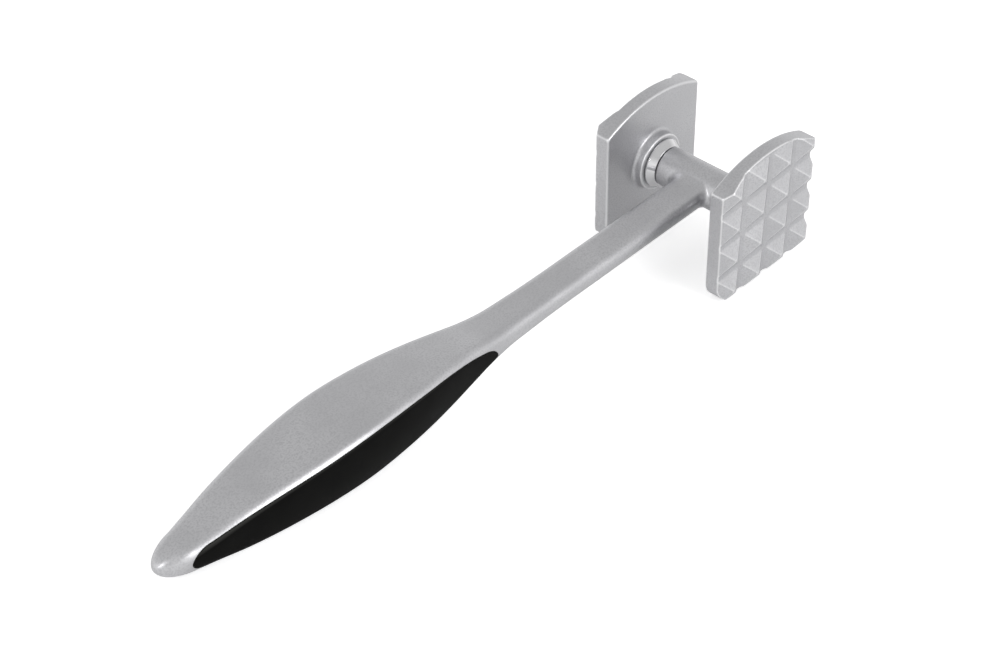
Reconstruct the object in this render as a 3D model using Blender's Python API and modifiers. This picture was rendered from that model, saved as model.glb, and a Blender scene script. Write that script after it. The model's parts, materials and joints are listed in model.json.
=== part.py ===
"""A meat mallet: two toothed head plates on a crossbar, and a cast handle with soft grip inserts.

The tool is modelled about the axis of its crossbar. The handle runs along -X, the head plates
face +Y and -Y, and their arched tops point to +Z. At the end the whole tool is tilted to the
way it rests on a table, on the lower corners of its plates and on the nose of its handle.
"""

import math

import bmesh
import bpy
import numpy as np
from mathutils import Matrix, Vector

# Fits, in metres
SEAT_GAP = 0.0003
OVERRUN = 0.004
MERGE_DISTANCE = 0.00001

# Head plates
PLATE_GAP = 0.0407
PLATE_WIDTH = 0.0448
PLATE_RISE = 0.0241
PLATE_DROP = 0.0229
PLATE_THICKNESS = 0.0050
ARCH_RISE = 0.0055
FOOT_RADIUS = 0.0064
SHOULDER_RADIUS = 0.0010
PLATE_EDGE_RADIUS = 0.0007

# Teeth of a head plate
TOOTH_COLUMNS = 4
TOOTH_ROWS = 4
TOOTH_PITCH = 0.01215
TOOTH_HEIGHT = 0.0029
TOOTH_BASE_SHARE = 0.85
TOOTH_TIP_SHARE = 0.04
TOOTH_FIELD_DROP = 0.0005
TOOTH_FIELD_SHIFT = 0.0010

# Crossbar, and the studs that join it to the plates
CROSSBAR_RADIUS = 0.00665
STUD_RADIUS = 0.0030
STUD_PLATE_DEPTH = 0.0060
STUD_CROSSBAR_DEPTH = 0.0090
STUD_CHAMFER = 0.0005

# Collar between a boss and the crossbar, wider than the crossbar by a step
COLLAR_STEP = 0.00175
COLLAR_RADIUS = CROSSBAR_RADIUS + COLLAR_STEP
COLLAR_THICKNESS = 0.0026
COLLAR_RIM = 0.0008
COLLAR_LIP = 0.0003

# Boss on the inner face of a plate, wider than the collar by a step
BOSS_STEP = 0.0014
BOSS_RADIUS = COLLAR_RADIUS + BOSS_STEP
BOSS_HEIGHT = 0.0035
BOSS_FILLET = 0.0012
BOSS_CHAMFER = 0.0003

# Handle, from the nose of the grip to the crossbar's axis
HANDLE_REACH = 0.2276
SHANK_WIDTH = 0.0129
SHANK_HEIGHT = 0.0071
SHANK_EDGE_RADIUS = 0.0031
GRIP_WIDTH = 0.0243
GRIP_HEIGHT = 0.0178
GRIP_EDGE_RADIUS = 0.0019
GRIP_SIDE_BULGE = 0.0013
GRIP_CROWN = 0.0007
GRIP_RISE = 0.0013
NOSE_LENGTH = 0.0090
NECK_BLEND_RADIUS = 0.0090
NECK_FILLET = 0.0026
NECK_SINK = 0.00006

# Distance from the nose, then how far width and height lie from the shank's (0) to the grip's (1)
HANDLE_PROFILE_SHARES = (
    (0.000, -0.24, 0.07),
    (0.035, -0.06, 0.15),
    (0.070, 0.13, 0.32),
    (0.110, 0.35, 0.58),
    (0.150, 0.56, 0.745),
    (0.190, 0.75, 0.845),
    (0.240, 0.93, 0.93),
    (0.295, 1.00, 1.00),
    (0.360, 0.90, 0.955),
    (0.410, 0.73, 0.86),
    (0.455, 0.50, 0.75),
    (0.500, 0.27, 0.54),
    (0.535, 0.15, 0.29),
    (0.570, 0.08, 0.10),
    (0.620, 0.03, 0.03),
    (0.780, 0.00, 0.00),
    (1.000, 0.00, 0.00),
)

# Grip inserts, one on each side
INSERT_START_SHARE = 0.042
INSERT_END_SHARE = 0.555
INSERT_RIM = 0.0013
INSERT_DEPTH = 0.0030
INSERT_NOSE_ROUNDING = 0.0090
INSERT_NECK_ROUNDING = 0.0080

# Facets
ARC_STEPS = 8
CROWN_STEPS = 20
TURN_STEPS = 48
BAR_STEPS = 64
BEVEL_STEPS = 3
CORNER_STEPS = 5
SIDE_STEPS = 3
NOSE_RINGS = 7
GRIP_RINGS = 30
SHANK_RINGS = 8
NECK_RINGS = 7
INSERT_TIP_STEPS = 8
INSERT_STEPS = 22
STANDING_SEARCH_STEPS = 40
STEEPEST_STAND = math.radians(30)

CAST_ALUMINIUM = ("cast_aluminium", (0.40, 0.40, 0.41, 1), 0.36, 1.0)
POLISHED_STEEL = ("polished_steel", (0.62, 0.62, 0.63, 1), 0.12, 1.0)
STUD_STEEL = ("stud_steel", (0.35, 0.35, 0.36, 1), 0.30, 1.0)
SOFT_BLACK = ("soft_black", (0.012, 0.012, 0.012, 1), 0.48, 0.0)


def clear_scene():
    for item in list(bpy.data.objects):
        bpy.data.objects.remove(item, do_unlink=True)


def make_collection(name):
    collection = bpy.data.collections.new(name)
    bpy.context.scene.collection.children.link(collection)
    return collection


def make_material(recipe):
    name, colour, roughness, metallic = recipe
    material = bpy.data.materials.new(name)
    material.use_nodes = True
    shader = material.node_tree.nodes["Principled BSDF"]
    shader.inputs["Base Color"].default_value = colour
    shader.inputs["Roughness"].default_value = roughness
    shader.inputs["Metallic"].default_value = metallic
    material.diffuse_color = colour
    return material


def add_part(name, mesh, collection, recipe):
    part = bpy.data.objects.new(name, mesh)
    part.data.materials.clear()
    part.data.materials.append(make_material(recipe))
    collection.objects.link(part)
    return part


def add_cutter(name, mesh, collection):
    cutter = bpy.data.objects.new(name, mesh)
    cutter.hide_render = True
    cutter.display_type = "WIRE"
    collection.objects.link(cutter)
    return cutter


def combine(part, other, operation):
    """Cut or join a part with another shape, which then rides on the part."""
    step = part.modifiers.new(f"{operation.lower()} {other.name}", "BOOLEAN")
    step.operation = operation
    step.solver = "EXACT"
    step.object = other
    other.parent = part


def baked(part):
    """The part's mesh with its modifiers applied, and the part removed."""
    bpy.context.view_layer.update()
    graph = bpy.context.evaluated_depsgraph_get()
    mesh = bpy.data.meshes.new_from_object(part.evaluated_get(graph))
    mesh.transform(part.matrix_world)
    bpy.data.objects.remove(part, do_unlink=True)
    return mesh


def smooth_round(mesh, sharpest=math.radians(32)):
    mesh.shade_smooth()
    mesh.set_sharp_from_angle(angle=sharpest)


def arc(centre, radius, start, stop, steps):
    """Points on an arc in a plane, from one angle to another."""
    angles = np.linspace(start, stop, steps + 1)
    return [(centre[0] + radius * math.cos(a), centre[1] + radius * math.sin(a)) for a in angles]


def extruded_outline(name, points, depth, collection):
    """A solid from a flat outline in the XY plane, its depth centred on that plane."""
    curve = bpy.data.curves.new(name, "CURVE")
    curve.dimensions = "2D"
    curve.fill_mode = "BOTH"
    curve.extrude = depth / 2
    spline = curve.splines.new("POLY")
    spline.points.add(len(points) - 1)
    for point, (across, up) in zip(spline.points, points):
        point.co = (across, up, 0, 1)
    spline.use_cyclic_u = True
    outline = bpy.data.objects.new(name, curve)
    collection.objects.link(outline)
    mesh = baked(outline)
    solid = bmesh.new()
    solid.from_mesh(mesh)
    bmesh.ops.remove_doubles(solid, verts=solid.verts, dist=MERGE_DISTANCE)
    bmesh.ops.dissolve_limit(
        solid, angle_limit=math.radians(0.1), verts=solid.verts, edges=solid.edges
    )
    bmesh.ops.recalc_face_normals(solid, faces=solid.faces)
    solid.to_mesh(mesh)
    solid.free()
    return mesh


def turned_solid(name, profile, collection, closed):
    """A solid turned about Z from a profile of (radius, height) that runs down its outer side."""
    mesh = bpy.data.meshes.new(name)
    points = [(radius, 0, height) for radius, height in profile]
    edges = [(i, i + 1) for i in range(len(points) - 1)]
    if closed:
        edges.append((len(points) - 1, 0))
    mesh.from_pydata(points, edges, [])
    turned = bpy.data.objects.new(name, mesh)
    collection.objects.link(turned)
    screw = turned.modifiers.new("turn", "SCREW")
    screw.axis = "Z"
    screw.angle = math.tau
    screw.steps = TURN_STEPS
    screw.render_steps = TURN_STEPS
    screw.use_merge_vertices = True
    screw.merge_threshold = MERGE_DISTANCE
    return baked(turned)


# Handle


def profile_share(along, column):
    """The smooth curve through one column of the profile shares, at a share of the reach."""
    table = np.array(HANDLE_PROFILE_SHARES)
    places = table[:, 0]
    values = table[:, column]
    slopes = np.gradient(values, places)
    left = int(np.clip(np.searchsorted(places, along) - 1, 0, len(places) - 2))
    span = places[left + 1] - places[left]
    t = (along - places[left]) / span
    start = values[left] * (1 + 2 * t) * (1 - t) ** 2 + slopes[left] * span * t * (1 - t) ** 2
    stop = values[left + 1] * t * t * (3 - 2 * t) + slopes[left + 1] * span * t * t * (t - 1)
    return start + stop


def between(shank_value, grip_value, share):
    return shank_value + (grip_value - shank_value) * share


def rounding(distance, length):
    """Rises from 0 to 1 over a length, like a quarter of an ellipse."""
    share = min(max(distance / length, 0), 1)
    return math.sqrt(1 - (1 - share) ** 2)


def neck_blend_start():
    """Where the fillet from the shank's top up to the crossbar starts."""
    reach = CROSSBAR_RADIUS - NECK_SINK + NECK_BLEND_RADIUS
    drop = SHANK_HEIGHT / 2 + NECK_BLEND_RADIUS
    return -math.sqrt(reach**2 - drop**2)


def neck_blend_end():
    """Where that fillet reaches the crossbar."""
    sunk = CROSSBAR_RADIUS - NECK_SINK
    return neck_blend_start() * sunk / (sunk + NECK_BLEND_RADIUS)


def neck_growth(x):
    """What the neck adds to the shank's half width and half height close to the crossbar."""
    taller = 0
    wider = 0
    into_blend = x - neck_blend_start()
    if 0 < into_blend <= neck_blend_end() - neck_blend_start() + MERGE_DISTANCE:
        taller = NECK_BLEND_RADIUS - math.sqrt(NECK_BLEND_RADIUS**2 - into_blend**2)
    into_fillet = x + CROSSBAR_RADIUS + NECK_FILLET
    if 0 < into_fillet:
        wider = NECK_FILLET - math.sqrt(max(NECK_FILLET**2 - into_fillet**2, 0))
    if into_fillet > NECK_FILLET:
        wider = NECK_FILLET * -x / CROSSBAR_RADIUS
    return wider, taller


def handle_size(x):
    """Half width, half height, edge radius, fullness and centre height of the handle at x."""
    along = (x + HANDLE_REACH) / HANDLE_REACH
    wide = profile_share(along, 1)
    tall = profile_share(along, 2)
    full = min(max(wide, 0), 1)
    nose = rounding(x + HANDLE_REACH, NOSE_LENGTH)
    wider, taller = neck_growth(x)
    half_width = between(SHANK_WIDTH, GRIP_WIDTH, wide) / 2 * nose + wider
    half_height = between(SHANK_HEIGHT, GRIP_HEIGHT, tall) / 2 * nose + taller
    radius = between(SHANK_EDGE_RADIUS, GRIP_EDGE_RADIUS, full) * nose
    return half_width, half_height, radius, full, GRIP_RISE * full


def rounded_section(half_width, half_height, radius):
    """Points round a rectangle with round corners, as many for every size."""
    arcs = []
    for quarter, (side, up) in enumerate(((1, 1), (-1, 1), (-1, -1), (1, -1))):
        centre = (side * (half_width - radius), up * (half_height - radius))
        start = quarter * math.pi / 2
        arcs.append(arc(centre, radius, start, start + math.pi / 2, CORNER_STEPS))
    points = []
    for quarter, corner in enumerate(arcs):
        points.extend(corner)
        first = Vector(corner[-1])
        last = Vector(arcs[(quarter + 1) % len(arcs)][0])
        points.extend(tuple(first.lerp(last, i / SIDE_STEPS)) for i in range(1, SIDE_STEPS))
    return points


def handle_ring(x):
    """One section of the handle, with its crowned top and bulging sides."""
    half_width, half_height, radius, full, centre = handle_size(x)
    ring = []
    for across, up in rounded_section(half_width, half_height, radius):
        bulge = GRIP_SIDE_BULGE * full * (1 - (up / half_height) ** 2) * across / half_width
        crown = GRIP_CROWN * full * (1 - (across / half_width) ** 2) * up / half_height
        ring.append((x, across + bulge, centre + up + crown))
    return ring


def handle_places():
    """Where the handle's sections lie, closer together at the nose and at the neck."""
    nose = -HANDLE_REACH
    places = [nose + NOSE_LENGTH * (1 - math.cos(i / NOSE_RINGS * math.pi / 2)) for i in range(1, NOSE_RINGS)]
    grip_end = nose + HANDLE_REACH * HANDLE_PROFILE_SHARES[-3][0]
    places.extend(np.linspace(nose + NOSE_LENGTH, grip_end, GRIP_RINGS))
    places.extend(np.linspace(grip_end, neck_blend_start(), SHANK_RINGS)[1:])
    fillet_end = -CROSSBAR_RADIUS
    places.extend(np.linspace(neck_blend_start(), fillet_end, NECK_RINGS)[1:])
    places.extend(np.linspace(fillet_end, neck_blend_end(), NECK_RINGS)[1:])
    places.append(0)
    return places


def handle_blank():
    """The loft of the whole handle up to the crossbar's axis, without the inserts' pockets."""
    blank = bmesh.new()
    nose = blank.verts.new((-HANDLE_REACH, 0, 0))
    rings = [[blank.verts.new(point) for point in handle_ring(x)] for x in handle_places()]
    count = len(rings[0])
    for i in range(count):
        blank.faces.new((nose, rings[0][i], rings[0][(i + 1) % count]))
    for near, far in zip(rings, rings[1:]):
        for i in range(count):
            after = (i + 1) % count
            blank.faces.new((near[i], far[i], far[after], near[after]))
    blank.faces.new(rings[-1])
    bmesh.ops.recalc_face_normals(blank, faces=blank.faces)
    mesh = bpy.data.meshes.new("handle_blank")
    blank.to_mesh(mesh)
    blank.free()
    smooth_round(mesh)
    return mesh


def insert_places(gap):
    """Where the points of an insert's outline lie along the handle."""
    start = HANDLE_REACH * (INSERT_START_SHARE - 1) + gap
    stop = HANDLE_REACH * (INSERT_END_SHARE - 1) - gap
    quarter = [1 - math.cos(i / INSERT_TIP_STEPS * math.pi / 2) for i in range(INSERT_TIP_STEPS)]
    places = [start + INSERT_NOSE_ROUNDING * share for share in quarter]
    places.extend(np.linspace(start + INSERT_NOSE_ROUNDING, stop - INSERT_NECK_ROUNDING, INSERT_STEPS))
    places.extend(stop - INSERT_NECK_ROUNDING * share for share in reversed(quarter))
    return places


def insert_outline(gap):
    """The lens seen from the side, as far inside the pocket as the gap."""
    places = insert_places(gap)
    upper = []
    lower = []
    for x in places:
        _, half_height, _, _, centre = handle_size(x)
        tips = rounding(x - places[0], INSERT_NOSE_ROUNDING) * rounding(places[-1] - x, INSERT_NECK_ROUNDING)
        half = (half_height - INSERT_RIM - gap) * tips
        upper.append((x, centre + half))
        lower.append((x, centre - half))
    return lower[:-1] + upper[:0:-1]


def lens_solid(name, gap, sides, collection):
    """The lens outline pushed through the handle, on one side of it or right through."""
    depth = GRIP_WIDTH + OVERRUN
    mesh = extruded_outline(name, insert_outline(gap), depth * len(sides), collection)
    mesh.transform(Matrix.Rotation(math.pi / 2, 4, "X"))
    if len(sides) == 1:
        mesh.transform(Matrix.Translation((0, sides[0] * depth / 2, 0)))
    return add_cutter(name, mesh, collection)


def core_solid(name, depth, collection):
    """The metal core that stays between the pockets, the inserts' depth inside the sides."""
    near_side = []
    for x in insert_places(-OVERRUN):
        half_width, _, _, full, _ = handle_size(x)
        near_side.append((x, half_width + GRIP_SIDE_BULGE * full - depth))
    far_side = [(x, -across) for x, across in reversed(near_side)]
    mesh = extruded_outline(name, near_side + far_side, GRIP_HEIGHT + OVERRUN, collection)
    return add_cutter(name, mesh, collection)


def crossbar_half_length():
    return PLATE_GAP / 2 - BOSS_HEIGHT - COLLAR_THICKNESS - 2 * SEAT_GAP


def cylinder_solid(name, radius, length, steps, collection):
    """A round bar along Y, centred on the origin."""
    bar = bmesh.new()
    bmesh.ops.create_cone(
        bar, cap_ends=True, segments=steps, radius1=radius, radius2=radius, depth=length,
        matrix=Matrix.Rotation(math.pi / 2, 4, "X"),
    )
    mesh = bpy.data.meshes.new(name)
    bar.to_mesh(mesh)
    bar.free()
    smooth_round(mesh)
    return add_cutter(name, mesh, collection)


def stud_bores(collection):
    """One bar that ends in the bores of both crossbar ends, with the crossbar's middle cut out."""
    reach = crossbar_half_length()
    bores = cylinder_solid("crossbar_bores", STUD_RADIUS + SEAT_GAP, 2 * (reach + OVERRUN), TURN_STEPS, collection)
    kept = 2 * (reach - STUD_CROSSBAR_DEPTH - SEAT_GAP)
    solid_middle = cylinder_solid("crossbar_middle", CROSSBAR_RADIUS + OVERRUN, kept, TURN_STEPS, collection)
    combine(bores, solid_middle, "DIFFERENCE")
    return bores


def build_handle(parts, cutters):
    """The casting: grip, shank and crossbar in one, with pockets for inserts and studs."""
    handle = add_part("handle_casting", handle_blank(), parts, CAST_ALUMINIUM)
    crossbar = cylinder_solid("crossbar", CROSSBAR_RADIUS, 2 * crossbar_half_length(), BAR_STEPS, cutters)
    pockets = lens_solid("insert_pockets", 0, (1, -1), cutters)
    combine(pockets, core_solid("pocket_core", INSERT_DEPTH, cutters), "DIFFERENCE")
    combine(handle, crossbar, "UNION")
    combine(handle, stud_bores(cutters), "DIFFERENCE")
    combine(handle, pockets, "DIFFERENCE")
    return handle


def build_insert(name, side, parts, cutters):
    """A soft pad that fills one pocket, flush with the casting round it."""
    insert = add_part(name, handle_blank(), parts, SOFT_BLACK)
    combine(insert, lens_solid(f"{name}_outline", SEAT_GAP, (side,), cutters), "INTERSECT")
    combine(insert, core_solid(f"{name}_floor", INSERT_DEPTH - SEAT_GAP, cutters), "DIFFERENCE")
    return insert


# Head


def plate_outline():
    """The plate from the side: flat foot with round corners, straight sides and arched top."""
    half = PLATE_WIDTH / 2
    arch_radius = (half**2 + ARCH_RISE**2) / (2 * ARCH_RISE)
    arch_centre = PLATE_RISE - arch_radius
    shoulder_across = half - SHOULDER_RADIUS
    inner_radius = arch_radius - SHOULDER_RADIUS
    shoulder_up = arch_centre + math.sqrt(inner_radius**2 - shoulder_across**2)
    shoulder_angle = math.atan2(shoulder_up - arch_centre, shoulder_across)
    foot = (half - FOOT_RADIUS, FOOT_RADIUS - PLATE_DROP)
    right = arc(foot, FOOT_RADIUS, -math.pi / 2, 0, ARC_STEPS)
    right += arc((shoulder_across, shoulder_up), SHOULDER_RADIUS, 0, shoulder_angle, BEVEL_STEPS)
    right += arc((0, arch_centre), arch_radius, shoulder_angle, math.pi / 2, CROWN_STEPS // 2)[1:]
    left = [(-across, up) for across, up in reversed(right[:-1])]
    return right + left


def plate_blank(collection):
    """The plate as deep as its tooth tips, inner face at y = 0 with a rounded rim."""
    depth = PLATE_THICKNESS + TOOTH_HEIGHT
    mesh = extruded_outline("plate_blank", plate_outline(), depth, collection)
    mesh.transform(Matrix.Translation((0, depth / 2, 0)) @ Matrix.Rotation(math.pi / 2, 4, "X"))
    blank = bmesh.new()
    blank.from_mesh(mesh)
    rim = [e for e in blank.edges if all(abs(v.co.y) < MERGE_DISTANCE for v in e.verts)]
    bmesh.ops.bevel(
        blank, geom=rim, offset=PLATE_EDGE_RADIUS, segments=BEVEL_STEPS, profile=0.5, affect="EDGES"
    )
    blank.to_mesh(mesh)
    blank.free()
    smooth_round(mesh)
    return mesh


def tooth_centres(shift):
    """Where the teeth stand on the face, whose field sits a little to one side of the stud."""
    across = [(i - (TOOTH_COLUMNS - 1) / 2) * TOOTH_PITCH + shift for i in range(TOOTH_COLUMNS)]
    up = [(i - (TOOTH_ROWS - 1) / 2) * TOOTH_PITCH - TOOTH_FIELD_DROP for i in range(TOOTH_ROWS)]
    return [(x, z) for x in across for z in up]


def tooth_field(shift, collection):
    """All the pyramids of a plate, their feet sunk into the plate behind them."""
    slope = TOOTH_PITCH * (TOOTH_BASE_SHARE - TOOTH_TIP_SHARE) / 2 / TOOTH_HEIGHT
    sink = TOOTH_PITCH * (1 - TOOTH_BASE_SHARE) / 4 / slope
    foot_half = TOOTH_PITCH * TOOTH_BASE_SHARE / 2 + sink * slope
    tip_half = TOOTH_PITCH * TOOTH_TIP_SHARE / 2
    field = bmesh.new()
    for x, z in tooth_centres(shift):
        middle = PLATE_THICKNESS + (TOOTH_HEIGHT - sink) / 2
        upright = Matrix.Rotation(-math.pi / 2, 4, "X") @ Matrix.Rotation(math.pi / 4, 4, "Z")
        bmesh.ops.create_cone(
            field, cap_ends=True, segments=4, radius1=foot_half * math.sqrt(2),
            radius2=tip_half * math.sqrt(2), depth=TOOTH_HEIGHT + sink,
            matrix=Matrix.Translation((x, middle, z)) @ upright,
        )
    mesh = bpy.data.meshes.new("tooth_field")
    field.to_mesh(mesh)
    field.free()
    return add_cutter("tooth_field", mesh, collection)


def tooth_block(shift, collection):
    """The toothed face, wider than the plate, that the plate's outline is cut from."""
    half_side = max(PLATE_WIDTH, PLATE_RISE + PLATE_DROP) / 2 + OVERRUN
    block = bmesh.new()
    bmesh.ops.create_cube(block, size=1)
    depth = PLATE_THICKNESS + OVERRUN
    bmesh.ops.scale(block, vec=(2 * half_side, depth, 2 * half_side), verts=block.verts)
    bmesh.ops.translate(block, vec=(0, (PLATE_THICKNESS - OVERRUN) / 2, 0), verts=block.verts)
    mesh = bpy.data.meshes.new("tooth_block")
    block.to_mesh(mesh)
    block.free()
    cutter = add_cutter("tooth_block", mesh, collection)
    combine(cutter, tooth_field(shift, collection), "UNION")
    return cutter


def boss_solid(collection):
    """The round seat on the plate's inner face, flared where it leaves the plate."""
    flare = arc((BOSS_RADIUS + BOSS_FILLET, BOSS_FILLET), BOSS_FILLET, math.pi, 1.5 * math.pi, ARC_STEPS // 2)
    profile = [(0, BOSS_HEIGHT), (BOSS_RADIUS - BOSS_CHAMFER, BOSS_HEIGHT)]
    profile.append((BOSS_RADIUS, BOSS_HEIGHT - BOSS_CHAMFER))
    profile.extend(flare)
    root = -PLATE_THICKNESS / 2
    profile.extend([(BOSS_RADIUS + BOSS_FILLET, root), (0, root)])
    mesh = turned_solid("boss", profile, collection, closed=False)
    mesh.transform(Matrix.Rotation(math.pi / 2, 4, "X"))
    smooth_round(mesh)
    return add_cutter("boss", mesh, collection)


def build_plate(name, shift, parts, cutters):
    """One head plate, inner face at its own y = 0, teeth towards +Y."""
    plate = add_part(name, plate_blank(cutters), parts, CAST_ALUMINIUM)
    combine(plate, tooth_block(shift, cutters), "INTERSECT")
    combine(plate, boss_solid(cutters), "UNION")
    bore_depth = STUD_PLATE_DEPTH + SEAT_GAP
    bore = cylinder_solid("plate_bore", STUD_RADIUS + SEAT_GAP, bore_depth + OVERRUN, TURN_STEPS, cutters)
    bore.location.y = -BOSS_HEIGHT + (bore_depth - OVERRUN) / 2
    combine(plate, bore, "DIFFERENCE")
    return plate


def collar_mesh(collection):
    """The polished ring between boss and crossbar, its cone towards the crossbar, from z = 0 up."""
    bore = STUD_RADIUS + SEAT_GAP
    profile = [
        (CROSSBAR_RADIUS + COLLAR_LIP, COLLAR_THICKNESS),
        (COLLAR_RADIUS, COLLAR_RIM),
        (COLLAR_RADIUS, 0),
        (bore, 0),
        (bore, COLLAR_THICKNESS),
    ]
    mesh = turned_solid("collar", profile, collection, closed=True)
    smooth_round(mesh)
    return mesh


def stud_length():
    between_bores = COLLAR_THICKNESS + 2 * SEAT_GAP
    return STUD_PLATE_DEPTH + between_bores + STUD_CROSSBAR_DEPTH


def stud_mesh(collection):
    """The plain shank of a stud, from z = 0 up, with chamfered ends."""
    length = stud_length()
    profile = [
        (0, length),
        (STUD_RADIUS - STUD_CHAMFER, length),
        (STUD_RADIUS, length - STUD_CHAMFER),
        (STUD_RADIUS, STUD_CHAMFER),
        (STUD_RADIUS - STUD_CHAMFER, 0),
        (0, 0),
    ]
    mesh = turned_solid("stud", profile, collection, closed=False)
    smooth_round(mesh)
    return mesh


def build_head_side(side_name, turn, shift, parts, cutters):
    """Plate, collar and stud of one side, all carried by an empty on the crossbar's axis."""
    side = bpy.data.objects.new(f"{side_name}_side", None)
    side.rotation_euler.z = turn
    parts.objects.link(side)
    inner_face = PLATE_GAP / 2
    boss_face = inner_face - BOSS_HEIGHT
    plate = build_plate(f"head_plate_{side_name}", shift, parts, cutters)
    plate.location.y = inner_face
    collar = add_part(f"plate_collar_{side_name}", collar_mesh(cutters), parts, POLISHED_STEEL)
    collar.location.y = boss_face - SEAT_GAP
    stud = add_part(f"plate_stud_{side_name}", stud_mesh(cutters), parts, STUD_STEEL)
    stud.location.y = boss_face + STUD_PLATE_DEPTH
    for turned in (collar, stud):
        turned.rotation_euler.x = math.pi / 2
    for part in (plate, collar, stud):
        part.parent = side
    return side, plate


# Standing on the table


def points_of(part):
    """The part's corners in the world, as rows."""
    graph = bpy.context.evaluated_depsgraph_get()
    shape = part.evaluated_get(graph)
    mesh = shape.to_mesh()
    points = np.array([shape.matrix_world @ vertex.co for vertex in mesh.vertices])
    shape.to_mesh_clear()
    return points


def tilted(points, tilt):
    """The points turned about Y, nose down for a positive tilt."""
    x = points[:, 0] * math.cos(tilt) - points[:, 2] * math.sin(tilt)
    z = points[:, 0] * math.sin(tilt) + points[:, 2] * math.cos(tilt)
    return np.column_stack((x, points[:, 1], z))


def standing_tilt(handle_points, plate_points):
    """The tilt that brings the handle's nose down to the level of the plates' feet."""
    low = 0
    high = STEEPEST_STAND
    for _ in range(STANDING_SEARCH_STEPS):
        tilt = (low + high) / 2
        handle_above = tilted(handle_points, tilt)[:, 2].min() - tilted(plate_points, tilt)[:, 2].min()
        if handle_above > 0:
            low = tilt
        else:
            high = tilt
    return tilt


def stand_up(carried, handle, plate, parts):
    """Tilt the tool to its resting place, centred over the origin with z = 0 as the table."""
    bpy.context.view_layer.update()
    handle_points = points_of(handle)
    plate_points = points_of(plate)
    tilt = standing_tilt(handle_points, plate_points)
    everything = tilted(np.concatenate((handle_points, plate_points)), tilt)
    low = everything.min(axis=0)
    high = everything.max(axis=0)
    stand = bpy.data.objects.new("resting_mallet", None)
    parts.objects.link(stand)
    stand.rotation_euler.y = -tilt
    stand.location = (-(low[0] + high[0]) / 2, 0, -low[2])
    for item in carried:
        item.parent = stand
    bpy.context.view_layer.update()


def main():
    clear_scene()
    parts = make_collection("meat_mallet")
    cutters = make_collection("cutters")
    handle = build_handle(parts, cutters)
    inserts = [
        build_insert("grip_insert_left", 1, parts, cutters),
        build_insert("grip_insert_right", -1, parts, cutters),
    ]
    left, plate = build_head_side("left", 0, TOOTH_FIELD_SHIFT, parts, cutters)
    right, _ = build_head_side("right", math.pi, -TOOTH_FIELD_SHIFT, parts, cutters)
    stand_up([handle, *inserts, left, right], handle, plate, parts)


main()
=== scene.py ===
# %% [markdown]
# # A meat mallet, dressed over its CAD frame
#
# The CAD model holds the sizes: a cast handle, two toothed head plates, collars, studs and two
# soft grip inserts. Here each visible piece gets its soft cast edges and its finish. We load
# that frame first, because every piece below is placed by it and nothing else is read.

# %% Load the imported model
import json
import math

import bmesh
import bpy
import numpy as np
from mathutils import Matrix, Vector


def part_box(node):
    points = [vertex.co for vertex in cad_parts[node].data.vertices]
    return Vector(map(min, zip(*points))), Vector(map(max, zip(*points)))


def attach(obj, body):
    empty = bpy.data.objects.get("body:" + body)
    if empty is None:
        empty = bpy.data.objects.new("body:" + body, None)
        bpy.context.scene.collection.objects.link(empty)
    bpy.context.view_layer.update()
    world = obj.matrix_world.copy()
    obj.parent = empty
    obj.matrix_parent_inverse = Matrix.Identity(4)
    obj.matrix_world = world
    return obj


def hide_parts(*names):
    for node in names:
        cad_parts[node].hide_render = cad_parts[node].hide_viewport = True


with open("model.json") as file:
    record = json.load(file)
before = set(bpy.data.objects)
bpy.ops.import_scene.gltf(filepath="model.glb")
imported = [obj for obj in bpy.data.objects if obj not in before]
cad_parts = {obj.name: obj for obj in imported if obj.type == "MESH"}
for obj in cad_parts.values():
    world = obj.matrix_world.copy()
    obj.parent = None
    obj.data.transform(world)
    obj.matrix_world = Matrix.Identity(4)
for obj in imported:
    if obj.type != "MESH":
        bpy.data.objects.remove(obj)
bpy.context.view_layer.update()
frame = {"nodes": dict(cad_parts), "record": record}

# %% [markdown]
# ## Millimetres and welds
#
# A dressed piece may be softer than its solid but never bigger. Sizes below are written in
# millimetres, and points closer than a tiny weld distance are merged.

MM = 0.001
WELD = 0.0005 * MM

# %% [markdown]
# ## The mallet's own axes
#
# The mallet rests on its two plates and on the nose of its handle, so it lies a few degrees
# nose down. Modelling is easier in axes of its own: X along the handle to the head, Y along the
# crossbar and Z up through the arched tops of the plates. The record's mounts say which way a
# plate's foot points, and the two collars have the crossbar's middle between them.

# %% Find the mallet's axes in the frame
down = Vector(frame["record"]["mounts"][0]["axis"])
crossbar_way = Vector((0, 1, 0))
handle_way = crossbar_way.cross(-down)
collar_corners = [*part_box("plate_collar_left"), *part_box("plate_collar_right")]
crossbar_middle = sum(collar_corners, Vector()) / len(collar_corners)

mallet = Matrix((handle_way, crossbar_way, -down)).transposed().to_4x4()
mallet.translation = crossbar_middle
print("nose-down tilt:", round(math.degrees(math.atan2(down.x, -down.z)), 2), "degrees")

# %% [markdown]
# ## Camera
#
# The photograph was taken from above the handle's right side, with the head farther away than
# the nose. These numbers come from fitting a camera to the plates' corners and to the outline
# of the handle. They are written in the mallet's own axes, so the view stays with the mallet.

# %% Set up the camera
LENS_MM = 78.57
SENSOR_MM = 36
CAMERA_PLACE = Vector((-0.4490, -0.33813, 0.41923))
CAMERA_TURN = math.radians(313.644)
CAMERA_RISE = math.radians(40.752)
CAMERA_ROLL = math.radians(-1.079)
NEAREST_SEEN = 10 * MM


def camera_axes(turn, rise, roll):
    """The camera's right, up and backward directions."""
    flat = math.cos(rise)
    back = Vector((math.sin(turn) * flat, -math.cos(turn) * flat, math.sin(rise)))
    level = Vector((math.cos(turn), math.sin(turn), 0))
    right = level * math.cos(roll) + back.cross(level) * math.sin(roll)
    return Matrix((right, back.cross(right), back)).transposed().to_4x4()


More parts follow.
